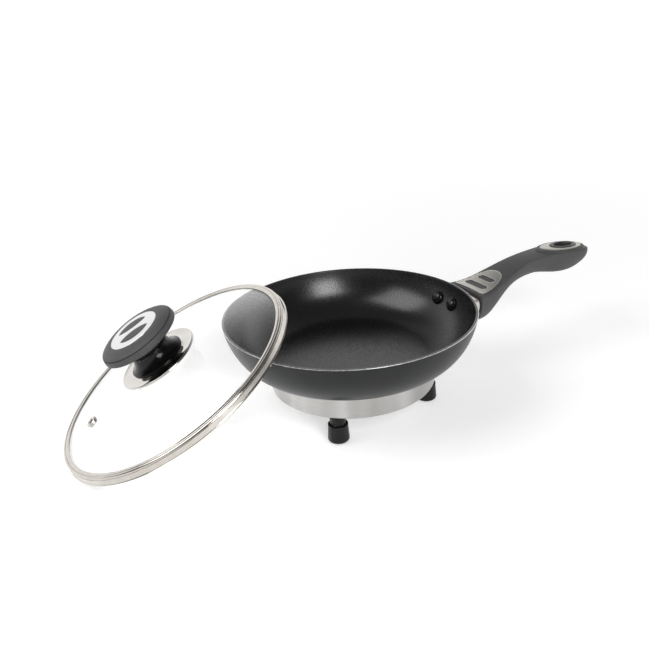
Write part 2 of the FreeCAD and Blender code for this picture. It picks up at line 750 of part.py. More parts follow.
def knob_leaves():
    """Dark leaves that stand a little proud of the silver disc."""
    dome = [
        line((0, 62.6), (24.1, 62.6)),
        line((24.1, 62.6), (24.1, 63.4)),
        arc((24.1, 63.4), (12.0, 64.2), (0, 64.4)),
        line((0, 64.4), (0, 62.6)),
    ]
    solid = spun(dome)
    return Part.makeCompound([solid.common(leaf) for leaf in leaf_prisms()])


def knob_screw():
    """Screw from inside the lid, through the glass into the knob."""
    under = GLASS_EDGE_H + GLASS_RISE - 2.75
    head = lathe([(0, under), (4.8, under), (4.8, under - 1.6), (3.0, under - 3.0), (0, under - 3.0)])
    screw = head.fuse(disc(2.5, under, 53.0)).removeSplitter()
    return screw.cut(block((-6, -0.6, under - 4), (6, 0.6, under - 1.8)))


def knob_washer():
    high = GLASS_EDGE_H + GLASS_RISE - 1.75
    return disc(7.5, high - 1.0, high, hole=2.6)


def knob_seal():
    """Silicone washer with a collar that keeps the screw off the glass."""
    high = GLASS_EDGE_H + GLASS_RISE - 0.25
    flange = disc(9.5, high - 1.5, high, hole=2.6)
    return flange.fuse(disc(3.9, high, KNOB_SEAT_H - 0.1, hole=2.6)).removeSplitter()


# ---------------------------------------------------------------- the whole object
def main():
    os.makedirs("parts", exist_ok=True)
    pan_solid = pan_outline_solid()
    save(pan_body(), "pan_body")
    save(handle_rivets(), "handle_rivets")

    save(heat_spreader(), "heat_spreader")
    save(heating_element(), "heating_element")
    save(power_pins(), "power_pins")
    save(ceramic_beads(), "ceramic_beads")
    save(probe_sleeve(), "probe_sleeve")
    save(inlet_shroud(), "inlet_shroud")
    save(earth_contact(), "earth_contact")
    save(inlet_brackets(), "inlet_brackets")
    save(inlet_screws(), "inlet_screws")
    save(centre_stud(), "centre_stud")
    save(centre_nut(), "centre_nut")
    save(centre_washer(), "centre_washer")
    save(reflector_plate(), "reflector_plate")
    save(base_skirt(), "base_skirt")
    save(bottom_cover(), "bottom_cover")
    save(foot_stems(), "foot_stems")
    save(foot_ferrules(), "foot_ferrules")
    save(foot_screws(), "foot_screws")

    blank = handle_blank()
    bracket = handle_bracket(pan_solid)
    plate = handle_inlay_plate(blank)
    end_ring = handle_end_ring(blank)
    eyelet = hanging_eyelet(blank)
    hole = oval_prism(HOLE_X, HOLE_HALF, 60, 130)
    save(bracket, "handle_bracket")
    save(flame_guard(pan_solid, bracket), "flame_guard")
    save(plate, "handle_inlay_plate")
    save(end_ring, "handle_end_ring")
    save(eyelet, "hanging_eyelet")
    save(handle_screw(), "handle_screw")
    save(handle_grip(blank, [plate, end_ring, eyelet, hole]), "handle_grip")

    lid_parts = {
        "lid_glass": lid_glass(),
        "lid_band": lid_band(),
        "steam_vent": steam_vent(),
        "knob_skirt": knob_skirt(),
        "knob_stem": knob_stem(),
        "knob_cap": knob_cap(),
        "knob_inlay": knob_inlay(),
        "knob_leaves": knob_leaves(),
        "knob_screw": knob_screw(),
        "knob_washer": knob_washer(),
        "knob_seal": knob_seal(),
    }
    for name, shape in lid_parts.items():
        leaning = shape.copy()
        leaning.Placement = lid_place().multiply(shape.Placement)
        save(leaning, name)


main()
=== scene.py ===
"""Looks of the electric frying pan with its leaning glass lid.

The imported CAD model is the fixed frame. Lengths in the profiles below are
millimetres in the CAD frame: +X along the handle, +Y to the inlet, +Z up.
"""
import math

import bmesh
import bpy
from mathutils import Matrix, Vector


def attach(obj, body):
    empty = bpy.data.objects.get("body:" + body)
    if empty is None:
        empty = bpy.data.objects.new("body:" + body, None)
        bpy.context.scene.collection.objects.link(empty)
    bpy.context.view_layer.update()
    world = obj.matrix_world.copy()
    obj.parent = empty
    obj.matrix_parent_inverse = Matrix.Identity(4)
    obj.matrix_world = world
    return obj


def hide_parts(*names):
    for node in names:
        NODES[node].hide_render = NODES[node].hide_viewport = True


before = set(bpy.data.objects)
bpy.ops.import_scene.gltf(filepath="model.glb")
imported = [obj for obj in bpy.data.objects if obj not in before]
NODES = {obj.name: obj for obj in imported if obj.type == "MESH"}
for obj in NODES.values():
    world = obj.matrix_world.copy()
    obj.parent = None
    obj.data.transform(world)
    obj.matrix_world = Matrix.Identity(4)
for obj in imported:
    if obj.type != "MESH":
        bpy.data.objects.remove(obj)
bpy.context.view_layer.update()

MM = 0.001


# ---------------------------------------------------------------- profiles
def circle_through(a, b, c):
    """Centre and radius of the circle through three points."""
    ax, ay = a
    bx, by = b
    cx, cy = c
    d = 2 * (ax * (by - cy) + bx * (cy - ay) + cx * (ay - by))
    ux = ((ax * ax + ay * ay) * (by - cy) + (bx * bx + by * by) * (cy - ay)
          + (cx * cx + cy * cy) * (ay - by)) / d
    uy = ((ax * ax + ay * ay) * (cx - bx) + (bx * bx + by * by) * (ax - cx)
          + (cx * cx + cy * cy) * (bx - ax)) / d
    return ux, uy, math.hypot(ax - ux, ay - uy)


def arc3(a, b, c, count):
    """Points along the arc through three (radius, height) points, both ends included."""
    ux, uy, radius = circle_through(a, b, c)
    start, middle, end = (math.atan2(y - uy, x - ux) for x, y in (a, b, c))
    turn = (end - start) % math.tau
    if (middle - start) % math.tau > turn:
        turn -= math.tau
    return [(ux + radius * math.cos(start + turn * i / count),
             uy + radius * math.sin(start + turn * i / count)) for i in range(count + 1)]


def bezier(p0, p1, p2, p3, count):
    """Points along a cubic curve, both ends included."""
    poles = (p0, p1, p2, p3)
    points = []
    for i in range(count + 1):
        t = i / count
        s = 1 - t
        weights = (s ** 3, 3 * s * s * t, 3 * s * t * t, t ** 3)
        points.append(tuple(sum(w * p[k] for w, p in zip(weights, poles)) for k in (0, 1)))
    return points


def joined(*runs):
    """One list of points from several runs, without the points they share."""
    points = []
    for run in runs:
        for p in run:
            if not points or math.dist(p, points[-1]) > 1e-5:
                points.append(p)
    if math.dist(points[0], points[-1]) < 1e-5:
        points.pop()
    return points


def oval(x, along, across, count):
    """Outline of an ellipse whose centre lies on the x axis."""
    turns = [math.tau * i / count for i in range(count)]
    return [(x + along * math.cos(a), across * math.sin(a)) for a in turns]


# ---------------------------------------------------------------- meshes
SHARP = 32.0                 # bend in degrees from which an edge is shaded as an edge


def place_object(name, data):
    """New object in the scene that shows a mesh, a lamp or a camera."""
    made = bpy.data.objects.new(name, data)
    bpy.context.scene.collection.objects.link(made)
    return made


def as_mesh(name, bm):
    """Mesh from a bmesh, which is used up."""
    mesh = bpy.data.meshes.new(name)
    bm.to_mesh(mesh)
    bm.free()
    return mesh


def shade(mesh, sharp):
    """Smooth shading, except across edges bent by more degrees than sharp."""
    for face in mesh.polygons:
        face.use_smooth = True
    mesh.set_sharp_from_angle(angle=math.radians(sharp))


def finish_mesh(name, bm, body, replaced, finish, sharp=SHARP):
    """Turn a bmesh into a smooth-shaded piece that rides on a CAD body."""
    bmesh.ops.remove_doubles(bm, verts=bm.verts, dist=1e-7)
    bmesh.ops.recalc_face_normals(bm, faces=bm.faces)
    mesh = as_mesh(name, bm)
    shade(mesh, sharp)
    mesh.materials.append(FINISH[finish])
    piece = place_object(name, mesh)
    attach(piece, body)
    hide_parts(*replaced)
    return piece


def bridge(bm, a, b):
    """Faces between two closed rings with the same number of points."""
    for i in range(len(a)):
        j = (i + 1) % len(a)
        bm.faces.new((a[i], a[j], b[j], b[i]))


def fan(bm, ring, centre):
    """Faces from a closed ring to one point."""
    for i in range(len(ring)):
        bm.faces.new((ring[i], ring[(i + 1) % len(ring)], centre))


def lathe_into(bm, profile, place, segments):
    """Revolve a closed profile into bm. Points on the axis become single poles."""
    rings = []
    for r, h in profile:
        if r < 1e-6:
            rings.append([bm.verts.new(place @ Vector((0, 0, h * MM)))])
            continue
        ring = []
        for i in range(segments):
            a = math.tau * i / segments
            x, y = r * math.cos(a), r * math.sin(a)
            ring.append(bm.verts.new(place @ Vector((x * MM, y * MM, h * MM))))
        rings.append(ring)
    for k, ring in enumerate(rings):
        after = rings[(k + 1) % len(rings)]
        if len(ring) == 1 and len(after) == 1:
            continue
        if len(ring) == 1:
            fan(bm, after, ring[0])
        elif len(after) == 1:
            fan(bm, ring, after[0])
        else:
            bridge(bm, ring, after)


def turned(name, profile, places, body, replaced, finish, segments, sharp=SHARP):
    """A turned piece, or several equal ones in one object."""
    bm = bmesh.new()
    for place in places:
        lathe_into(bm, profile, place, segments)
    return finish_mesh(name, bm, body, replaced, finish, sharp)


def prism(place, outline, low, high):
    """Closed block with the given outline, to cut or trim a piece with."""
    bm = bmesh.new()
    bottom, top = ([bm.verts.new(place @ (Vector((x, y, z)) * MM)) for x, y in outline]
                   for z in (low, high))
    bm.faces.new(bottom[::-1])
    bm.faces.new(top)
    bridge(bm, bottom, top)
    bmesh.ops.recalc_face_normals(bm, faces=bm.faces)
    return place_object("block", as_mesh("block", bm))


def combine(piece, operation, block):
    """Cut a block out of a piece (DIFFERENCE), or keep only what is inside it (INTERSECT)."""
    modifier = piece.modifiers.new("block", "BOOLEAN")
    modifier.operation = operation
    modifier.solver = "EXACT"
    modifier.object = block
    bpy.context.view_layer.update()
    graph = bpy.context.evaluated_depsgraph_get()
    mesh = bpy.data.meshes.new_from_object(piece.evaluated_get(graph))
    piece.modifiers.clear()
    piece.data = mesh
    shade(mesh, SHARP)
    bpy.data.objects.remove(block)


# ---------------------------------------------------------------- materials
def grey(value, warm=0.0):
    """Grey with a share of extra red and as much less blue."""
    return (value * (1 + warm), value, value * (1 - warm))


def colour_ramp(nodes, stops):
    """Colour ramp node with (position, (r, g, b)) stops."""
    ramp = nodes.new("ShaderNodeValToRGB")
    elements = ramp.color_ramp.elements
    while len(elements) < len(stops):
        elements.new(0.5)
    for element, (position, colour) in zip(elements, stops):
        element.position = position
        element.color = (*colour, 1.0)
    return ramp


class Finish:
    """A material with one Principled shader and small helpers for its pattern."""

    def __init__(self, name, colour, roughness, metallic=0.0, **sockets):
        self.material = bpy.data.materials.new(name)
        self.material.use_nodes = True
        self.nodes = self.material.node_tree.nodes
        self.shader = self.nodes["Principled BSDF"]
        self.shader.inputs["Base Color"].default_value = (*colour, 1.0)
        self.shader.inputs["Roughness"].default_value = roughness
        self.shader.inputs["Metallic"].default_value = metallic
        for socket, value in sockets.items():
            self.shader.inputs[socket.replace("_", " ")].default_value = value
        self.place = self.nodes.new("ShaderNodeTexCoord").outputs["Object"]
        self.last_normal = None

    def link(self, source, target):
        self.material.node_tree.links.new(source, target)

    def noise(self, scale, detail, stretch=(1.0, 1.0, 1.0), rough=0.55):
        """Noise in object space, squeezed along each axis by stretch."""
        mapping = self.nodes.new("ShaderNodeMapping")
        mapping.inputs["Scale"].default_value = stretch
        self.link(self.place, mapping.inputs["Vector"])
        texture = self.nodes.new("ShaderNodeTexNoise")
        texture.inputs["Scale"].default_value = scale
        texture.inputs["Detail"].default_value = detail
        texture.inputs["Roughness"].default_value = rough
        self.link(mapping.outputs["Vector"], texture.inputs["Vector"])
        return texture.outputs["Fac"]

    def cells(self, scale):
        """Distance from the nearest of many scattered points."""
        texture = self.nodes.new("ShaderNodeTexVoronoi")
        texture.inputs["Scale"].default_value = scale
        self.link(self.place, texture.inputs["Vector"])
        return texture.outputs["Distance"]

    def span(self, source, start, end, low, high):
        """Number that goes from low to high as the source goes from start to end."""
        node = self.nodes.new("ShaderNodeMapRange")
        node.inputs["From Min"].default_value = start
        node.inputs["From Max"].default_value = end
        node.inputs["To Min"].default_value = low
        node.inputs["To Max"].default_value = high
        self.link(source, node.inputs["Value"])
        return node.outputs["Result"]

    def roughness(self, source, low, high, start=0.3, end=0.7):
        """Roughness from low to high as the source goes from start to end."""
        self.link(self.span(source, start, end, low, high), self.shader.inputs["Roughness"])

    def colours(self, source, *stops):
        """Colour ramp of (position, (r, g, b)) stops into the base colour."""
        ramp = colour_ramp(self.nodes, stops)
        self.link(source, ramp.inputs["Fac"])
        self.link(ramp.outputs["Color"], self.shader.inputs["Base Color"])

    def bump(self, source, strength, distance):
        """Add a bump of the given depth in millimetres on top of those before it."""
        node = self.nodes.new("ShaderNodeBump")
        node.inputs["Strength"].default_value = strength
        node.inputs["Distance"].default_value = distance * MM
        self.link(source, node.inputs["Height"])
        if self.last_normal:
            self.link(self.last_normal, node.inputs["Normal"])
        self.last_normal = node.outputs["Normal"]
        self.link(self.last_normal, self.shader.inputs["Normal"])


def nonstick():
    """Black non-stick coating with fine pale specks."""
    f = Finish("nonstick", grey(0.005), 0.26, Specular_IOR_Level=0.62)
    speck = f.cells(800.0)
    grain = f.noise(1000.0, 3.0)
    f.colours(speck, (0.0, grey(0.022, 0.03)), (0.25, grey(0.005, 0.03)), (1.0, grey(0.003)))
    f.roughness(grain, 0.19, 0.33)
    f.bump(grain, 0.5, 0.09)
    f.bump(speck, 0.3, 0.05)
    return f.material


def outer_enamel():
    """Dark grey satin enamel outside the pan."""
    f = Finish("outer_enamel", grey(0.010), 0.34, Specular_IOR_Level=0.28)
    fine = f.noise(1400.0, 2.0)
    f.colours(f.noise(30.0, 2.0), (0.3, grey(0.008, -0.05)), (0.7, grey(0.012, -0.05)))
    f.roughness(fine, 0.30, 0.40)
    f.bump(fine, 0.15, 0.03)
    return f.material


def bare_aluminium():
    """Machined aluminium with fine scratches."""
    f = Finish("bare_aluminium", grey(0.72), 0.26, 1.0)
    scratch = f.noise(260.0, 3.0, (1.0, 1.0, 7.0))
    f.colours(scratch, (0.3, grey(0.62)), (0.7, grey(0.78)))
    f.roughness(scratch, 0.2, 0.36)
    f.bump(scratch, 0.1, 0.03)
    return f.material


def black_enamel():
    """Glossy black enamel with a faint orange peel."""
    f = Finish("black_enamel", grey(0.004), 0.12, Specular_IOR_Level=0.4)
    orange = f.noise(420.0, 2.0)
    f.colours(orange, (0.3, grey(0.003)), (0.7, grey(0.006)))
    f.roughness(orange, 0.10, 0.2)
    f.bump(orange, 0.08, 0.03)
    return f.material


def element_steel():
    """Sheath steel, tanned in patches by the heat."""
    f = Finish("element_steel", grey(0.42, 0.04), 0.42, 1.0)
    scale = f.noise(220.0, 4.0)
    f.colours(scale, (0.3, (0.30, 0.26, 0.23)), (0.7, grey(0.46, 0.03)))
    f.roughness(scale, 0.34, 0.55)
    f.bump(scale, 0.2, 0.05)
    return f.material


def plated_brass():
    """Nickel on brass, worn through to the brass in places."""
    f = Finish("plated_brass", (0.82, 0.80, 0.72), 0.2, 1.0)
    wear = f.noise(300.0, 3.0)
    f.colours(wear, (0.35, (0.80, 0.70, 0.48)), (0.55, (0.82, 0.80, 0.74)))
    f.roughness(wear, 0.16, 0.3)
    f.bump(wear, 0.06, 0.03)
    return f.material


def white_ceramic():
    """Unglazed white ceramic."""
    f = Finish("white_ceramic", grey(0.78, 0.02), 0.5)
    chalk = f.noise(500.0, 3.0)
    f.colours(chalk, (0.3, grey(0.70, 0.03)), (0.7, grey(0.82, 0.01)))
    f.roughness(chalk, 0.42, 0.6)
    f.bump(chalk, 0.15, 0.04)
    return f.material


def black_phenolic():
    """Hard black moulding."""
    f = Finish("black_phenolic", grey(0.006), 0.3, Specular_IOR_Level=0.25)
    mould = f.noise(900.0, 2.0)
    f.colours(f.noise(90.0, 3.0), (0.3, grey(0.004)), (0.7, grey(0.008)))
    f.roughness(mould, 0.24, 0.4)
    f.bump(mould, 0.12, 0.04)
    return f.material


def plain_steel():
    """Rolled steel of the hidden fastenings and brackets."""
    f = Finish("plain_steel", grey(0.5), 0.34, 1.0)
    rolled = f.noise(240.0, 4.0, (1.0, 5.0, 1.0))
    f.colours(rolled, (0.3, grey(0.42)), (0.7, grey(0.56)))
    f.roughness(rolled, 0.28, 0.46)
    f.bump(rolled, 0.12, 0.04)
    return f.material


def brushed_stainless():
    """Stainless steel brushed round the base, with broad paler upright streaks painted into its colour as
    highlights.
    """
    f = Finish("brushed_stainless", grey(0.53, 0.03), 0.3, 1.0)
    brush = f.noise(60.0, 5.0, (0.35, 0.35, 34.0), 0.7)
    painted_highlight_streaks = f.noise(26.0, 2.0, (1.0, 1.0, 0.1))
    # painted highlights: upright bands of paler colour stand in for reflected streaks of light on the
    # skirt
    f.colours(painted_highlight_streaks, (0.3, grey(0.37, 0.03)), (0.5, grey(0.45, 0.02)), (0.7, grey(0.62, 0.01)))
    f.roughness(brush, 0.24, 0.38)
    f.bump(brush, 0.3, 0.05)
    return f.material


def polished_stainless():
    """Polished stainless steel, its colour dimmed and warmed to paint in the reflection of the shaded
    floor.
    """
    # painted reflection: the dim warm base colour stands in for the shaded floor mirrored in the metal
    f = Finish("polished_stainless", (0.56, 0.53, 0.49), 0.1, 1.0)
    haze = f.noise(120.0, 3.0)
    f.colours(haze, (0.3, (0.52, 0.49, 0.45)), (0.7, (0.60, 0.57, 0.53)))
    f.roughness(haze, 0.07, 0.14)
    f.bump(f.noise(900.0, 2.0), 0.03, 0.01)
    return f.material


def bright_chrome():
    """Mirror-bright chrome that waves a little."""
    f = Finish("bright_chrome", (0.58, 0.56, 0.53), 0.04, 1.0)
    haze = f.noise(60.0, 3.0)
    f.colours(haze, (0.3, (0.55, 0.53, 0.50)), (0.7, (0.62, 0.60, 0.57)))
    f.roughness(haze, 0.03, 0.07)
    f.bump(f.noise(40.0, 2.0), 0.02, 0.05)
    return f.material


def foot_rubber():
    """Smooth black rubber."""
    f = Finish("foot_rubber", grey(0.006), 0.24, Specular_IOR_Level=0.26)
    skin = f.noise(700.0, 3.0)
    f.colours(f.noise(120.0, 3.0), (0.3, grey(0.004)), (0.7, grey(0.008)))
    f.roughness(skin, 0.14, 0.26)
    f.bump(skin, 0.2, 0.05)
    return f.material


def pale_satin():
    """Pale satin metal of the handle's trim."""
    f = Finish("pale_satin", (0.50, 0.48, 0.44), 0.36, 1.0)
    satin = f.noise(700.0, 3.0, (1.0, 6.0, 1.0))
    f.colours(satin, (0.3, (0.45, 0.43, 0.39)), (0.7, (0.55, 0.53, 0.49)))
    f.roughness(satin, 0.30, 0.44)
    f.bump(satin, 0.12, 0.02)
    return f.material


def soft_touch_black():
    """Dark grey soft-touch moulding."""
    f = Finish("soft_touch_black", grey(0.045), 0.5, Specular_IOR_Level=0.22)
    texture = f.noise(1500.0, 2.0)
    f.colours(f.noise(40.0, 3.0), (0.3, grey(0.062)), (0.7, grey(0.072)))
    f.roughness(texture, 0.42, 0.56)
    f.bump(texture, 0.3, 0.04)
    return f.material


def gloss_black():
    """Glossy black moulding."""
    f = Finish("gloss_black", grey(0.004), 0.14, Specular_IOR_Level=0.22)
    orange = f.noise(200.0, 2.0)
    f.colours(orange, (0.3, grey(0.003)), (0.7, grey(0.005)))
    f.roughness(orange, 0.10, 0.20)
    f.bump(orange, 0.03, 0.03)
    return f.material


def silver_satin():
    """Silver satin disc on the knob."""
    f = Finish("silver_satin", grey(0.70), 0.22, 1.0)
    sunburst = f.noise(500.0, 3.0, (1.0, 5.0, 1.0))
    f.colours(sunburst, (0.3, grey(0.64)), (0.7, grey(0.76)))
    f.roughness(sunburst, 0.18, 0.3)
    f.bump(sunburst, 0.08, 0.02)
    return f.material


def silicone():
    """Pale silicone seal."""
    f = Finish("silicone", grey(0.55, 0.02), 0.45, Subsurface_Weight=0.1)
    cloud = f.noise(160.0, 2.0)
    f.colours(cloud, (0.3, grey(0.50, 0.02)), (0.7, grey(0.60, 0.02)))
    f.roughness(cloud, 0.4, 0.55)
    f.bump(cloud, 0.1, 0.03)
    return f.material


def eyelet_black():
    """Smooth dark rim of the hanging hole."""
    f = Finish("eyelet_black", grey(0.035), 0.38, Specular_IOR_Level=0.35)
    skin = f.noise(700.0, 2.0)
    f.colours(f.noise(80.0, 3.0), (0.3, grey(0.032)), (0.7, grey(0.040)))
    f.roughness(skin, 0.32, 0.44)
    f.bump(skin, 0.08, 0.02)
    return f.material


def bright_edge():
    """Bright bead along the edges of the handle's plate, paler than the plate to paint in the highlights
    its edges catch.
    """
    # painted highlight: metal paler than the plate's stands in for light caught along its edges
    f = Finish("bright_edge", (0.86, 0.84, 0.80), 0.2, 1.0)
    edge = f.noise(500.0, 3.0)
    f.colours(edge, (0.3, (0.66, 0.64, 0.60)), (0.7, (0.78, 0.76, 0.72)))
    f.roughness(edge, 0.28, 0.42)
    f.bump(edge, 0.05, 0.01)
    return f.material


def clear_glass():
    """Clear glass that lets the lamps through, with the faintest smears in its polish."""
    f = Finish("clear_glass", (0.985, 0.99, 0.988), 0.0, Transmission_Weight=1.0, IOR=1.47)
    f.roughness(f.noise(14.0, 3.0), 0.0, 0.02, 0.45, 0.8)
    path = f.nodes.new("ShaderNodeLightPath")
    open_way = f.nodes.new("ShaderNodeBsdfTransparent")
    open_way.inputs["Color"].default_value = (0.93, 0.935, 0.93, 1.0)
    mix = f.nodes.new("ShaderNodeMixShader")
    f.link(path.outputs["Is Shadow Ray"], mix.inputs["Fac"])
    f.link(f.shader.outputs["BSDF"], mix.inputs[1])
    f.link(open_way.outputs["BSDF"], mix.inputs[2])
    f.link(mix.outputs["Shader"], f.nodes["Material Output"].inputs["Surface"])
    return f.material


MAKERS = (nonstick, outer_enamel, bare_aluminium, black_enamel, element_steel,
          plated_brass, white_ceramic, black_phenolic, plain_steel, brushed_stainless,
          polished_stainless, bright_chrome, foot_rubber, pale_satin, soft_touch_black,
          gloss_black, silver_satin, silicone, eyelet_black, bright_edge,
          clear_glass)
FINISH = {make.__name__: make() for make in MAKERS}

# ---------------------------------------------------------------- CAD nodes that stay as they are
CAD_FINISH = {
    "nonstick": ["pan_body"],
    "black_enamel": ["handle_rivets"],
    "bare_aluminium": ["heat_spreader", "reflector_plate"],
    "element_steel": ["heating_element", "probe_sleeve"],
    "plated_brass": ["power_pins", "earth_contact"],
    "white_ceramic": ["ceramic_beads"],
    "black_phenolic": ["inlet_shroud", "foot_stems"],
    "plain_steel": ["inlet_brackets", "inlet_screws", "centre_stud", "centre_nut", "centre_washer",
                    "bottom_cover", "foot_screws", "handle_bracket", "handle_screw", "knob_screw",
                    "knob_washer"],
    "brushed_stainless": ["base_skirt"],
    "foot_rubber": ["foot_ferrules"],
    "polished_stainless": ["flame_guard", "lid_band", "steam_vent"],
    "pale_satin": ["handle_inlay_plate", "handle_end_ring"],
    "soft_touch_black": ["hanging_eyelet", "handle_grip", "knob_cap", "knob_leaves"],
    "clear_glass": ["lid_glass"],
    "bright_chrome": ["knob_skirt"],
    "gloss_black": ["knob_stem"],
    "silver_satin": ["knob_inlay"],
    "silicone": ["knob_seal"],
}
for finish_name, node_names in CAD_FINISH.items():
    for node_name in node_names:
        for material_slot in NODES[node_name].material_slots:
            material_slot.material = FINISH[finish_name]


# ---------------------------------------------------------------- pan
UPRIGHT = Matrix.Identity(4)
RIM_R = 120.0                # outside of the pan at its rim
RIM_Z = 97.0                 # top of the rim
FLOOR_R = 73.3               # radius where the floor turns up into the wall
FLOOR_Z = 52.5               # cooking surface
UNDER_Z = 49.0               # underside of the pan
COAT = 0.5                   # thickness given to the lining and to the outer enamel

RIVET_R = 111.9              # how far out on the wall the rivets sit
RIVET_SIDE = 11.6            # and how far each is from the middle
RIVET_Z = 79.5
RIVET_LEAN = math.radians(110)

FOOT_CIRCLE = 71.5           # radius of the circle that the feet stand on
FOOT_TURNS = (30.5, 131.7, 228.3, 329.5)
FLUTES = 10                  # faint moulded flutes round each ferrule
FLUTE_DEPTH = 0.16


def offset(points, distance):
    """Points moved sideways along the curve's own normals."""
    moved = []
    for k, (r, h) in enumerate(points):
        before = points[max(k - 1, 0)]
        after = points[min(k + 1, len(points) - 1)]
        dr, dh = after[0] - before[0], after[1] - before[1]
        size = math.hypot(dr, dh)
        moved.append((max(r - dh / size * distance, 0.0), h + dr / size * distance))
    return moved


def make_pan():
    """Lining, outer coat and the bare metal between them, which shows on the rim."""
    shoulder = (RIM_R - 0.5, RIM_Z - 0.03)
    outer_lip = (RIM_R, RIM_Z - 0.6)
    inner = [shoulder, (RIM_R - 0.8, RIM_Z), (RIM_R - 2.1, RIM_Z), (RIM_R - 2.55, RIM_Z - 0.25)]
    inner += bezier((RIM_R - 2.7, RIM_Z - 0.8), (112.4, 69.0), (95.8, FLOOR_Z), (FLOOR_R, FLOOR_Z), 40)
    inner += [(r, FLOOR_Z) for r in (60, 45, 30, 15, 0)]
    outer = [(r, UNDER_Z) for r in (0, 20, 40, 60)]
    outer += bezier((FLOOR_R, UNDER_Z), (97.3, UNDER_Z), (115.0, 67.0), outer_lip, 40)
    under_lining = offset(inner, COAT)
    under_lining[-1] = (0, FLOOR_Z - COAT)
    under_lining.reverse()
    under_coat = offset(outer, COAT)
    under_coat[0] = (0, UNDER_Z + COAT)
    under_coat.reverse()
    core = joined([shoulder, (RIM_R - 0.15, RIM_Z - 0.15), outer_lip], under_coat, under_lining)
    for name, profile, slot, finish in (
            ("pan_lining", inner + under_lining, "nonstick_coating", "nonstick"),
            ("pan_outer_coat", outer + under_coat, "nonstick_coating", "outer_enamel"),
            ("pan_rim_core", core, "bare_aluminium", "bare_aluminium")):
        turned(name, profile, [UPRIGHT], "pan", ["pan_body"], finish, 256)


def rivet_place(side):
    """Frame of a rivet, whose axis leans with the wall."""
    turn = math.asin(RIVET_SIDE / RIVET_R) * side
    where = Vector((RIVET_R * math.cos(turn), RIVET_R * math.sin(turn), RIVET_Z)) * MM
    spin = Matrix.Rotation(turn, 4, "Z") @ Matrix.Rotation(RIVET_LEAN, 4, "Y")
    return Matrix.Translation(where) @ spin


def make_rivets():
    """Domed heads with a small flat brim inside the pan, and upset tails outside it."""
    profile = joined(arc3((0, -4.1), (4.6, -3.3), (6.5, -1.35), 12),
                     arc3((6.5, -1.35), (6.8, -1.05), (6.7, -0.7), 3),
                     [(2.5, -0.7), (2.5, 6.2), (4.3, 6.2), (4.1, 7.1), (3.4, 7.8), (0, 7.8)])
    places = [rivet_place(side) for side in (-1, 1)]
    turned("rivets", profile, places, "pan", ["handle_rivets"], "black_enamel", 64)


def press_flutes(ferrules, spots):
    """Press the flutes into the tapered sides of the ferrules."""
    for vertex in ferrules.data.vertices:
        x, y, z = (c / MM for c in vertex.co)
        spot = min(spots, key=lambda s: math.dist(s, (x, y)))
        dx, dy = x - spot[0], y - spot[1]
        if math.hypot(dx, dy) > 9.0 and 3.0 < z < 16.5:
            depth = FLUTE_DEPTH * (0.5 + 0.5 * math.cos(FLUTES * math.atan2(dy, dx)))
            shrink = 1 - depth / math.hypot(dx, dy)
            vertex.co.x = (spot[0] + dx * shrink) * MM
            vertex.co.y = (spot[1] + dy * shrink) * MM


def make_feet():
    """Ferrules with a rolled lip, on plain stems."""
    turns = [math.radians(a) for a in FOOT_TURNS]
    spots = [(FOOT_CIRCLE * math.cos(a), FOOT_CIRCLE * math.sin(a)) for a in turns]
    places = [Matrix.Translation(Vector((x, y, 0)) * MM) for x, y in spots]
    ferrule = joined([(0, 0), (6.75, 0)], arc3((6.75, 0), (9.25, 1.1), (10.15, 3.8), 8),
                     [(10.0, 6.5), (9.8, 9.0), (9.6, 12.0), (9.4, 15.5)],
                     arc3((9.3, 17.3), (8.8, 17.8), (8.3, 17.3), 8),
                     [(8.1, 15.0), (7.7, 11.5), (7.42, 9.0), (7.42, 3.0), (0, 3.0)])
    ferrules = turned("foot_ferrules_moulded", ferrule, places, "pan", ["foot_ferrules"],
                      "foot_rubber", 96)
    press_flutes(ferrules, spots)
    stem = [(0, 3.0), (7.3, 3.0), (7.4, 3.4), (7.4, 25.6), (7.7, 25.8), (8.0, 26.1), (8.0, 26.8),
            (2.0, 26.8), (2.0, 12.0), (0, 12.0)]
    turned("foot_stems_turned", stem, places, "pan", ["foot_stems"],
           "black_phenolic", 64)


# ---------------------------------------------------------------- lid
TILT = math.radians(28.3)    # lean of the lid's own axis from upright
LID_TURN = math.radians(169.9)
LID_X = -162.7               # origin of the lid's own frame
LID_Y = 42.3
LID_R = 122.0                # outside of the band, whose low side almost touches the table
BAND_LOW = 1.3               # lower edge of the band along the lid's axis
TABLE_GAP = 0.15
LID_Z = TABLE_GAP + LID_R * math.sin(TILT) - BAND_LOW * math.cos(TILT)
LID = (Matrix.Translation(Vector((LID_X, LID_Y, LID_Z)) * MM)
       @ Matrix.Rotation(LID_TURN, 4, "Z") @ Matrix.Rotation(TILT, 4, "Y"))

GLASS_R = 118.0
GLASS_EDGE = 7.2             # upper face of the glass at its edge
GLASS_RISE = 21.0            # how far the glass rises from its edge to its middle
GLASS_THICK = 4.0
GLASS_HOLE = 4.0             # radius of the hole for the knob's screw
LIP_R = 114.2                # inner edge of the band above the glass
UNDER_LIP_R = 114.4          # and below it
SKIN = 0.06                  # gap between the band and the glass
VENT_R = 81.5                # how far out on the glass the steam vent is
VENT_TURN = math.radians(4.4)


def glass_top(r):
    """Height of the glass by the formula that the frame uses."""
    return GLASS_EDGE + GLASS_RISE * (1 - (r / GLASS_R) ** 2)


DOME_X, DOME_Z, DOME_R = circle_through(*((r, glass_top(r)) for r in (GLASS_R, GLASS_R * 0.7, GLASS_HOLE)))


def dome_height(r, lift=0.0):
    """Height on the arc that the glass follows, raised by lift."""
    return DOME_Z + math.sqrt(DOME_R ** 2 - (r - DOME_X) ** 2) + lift


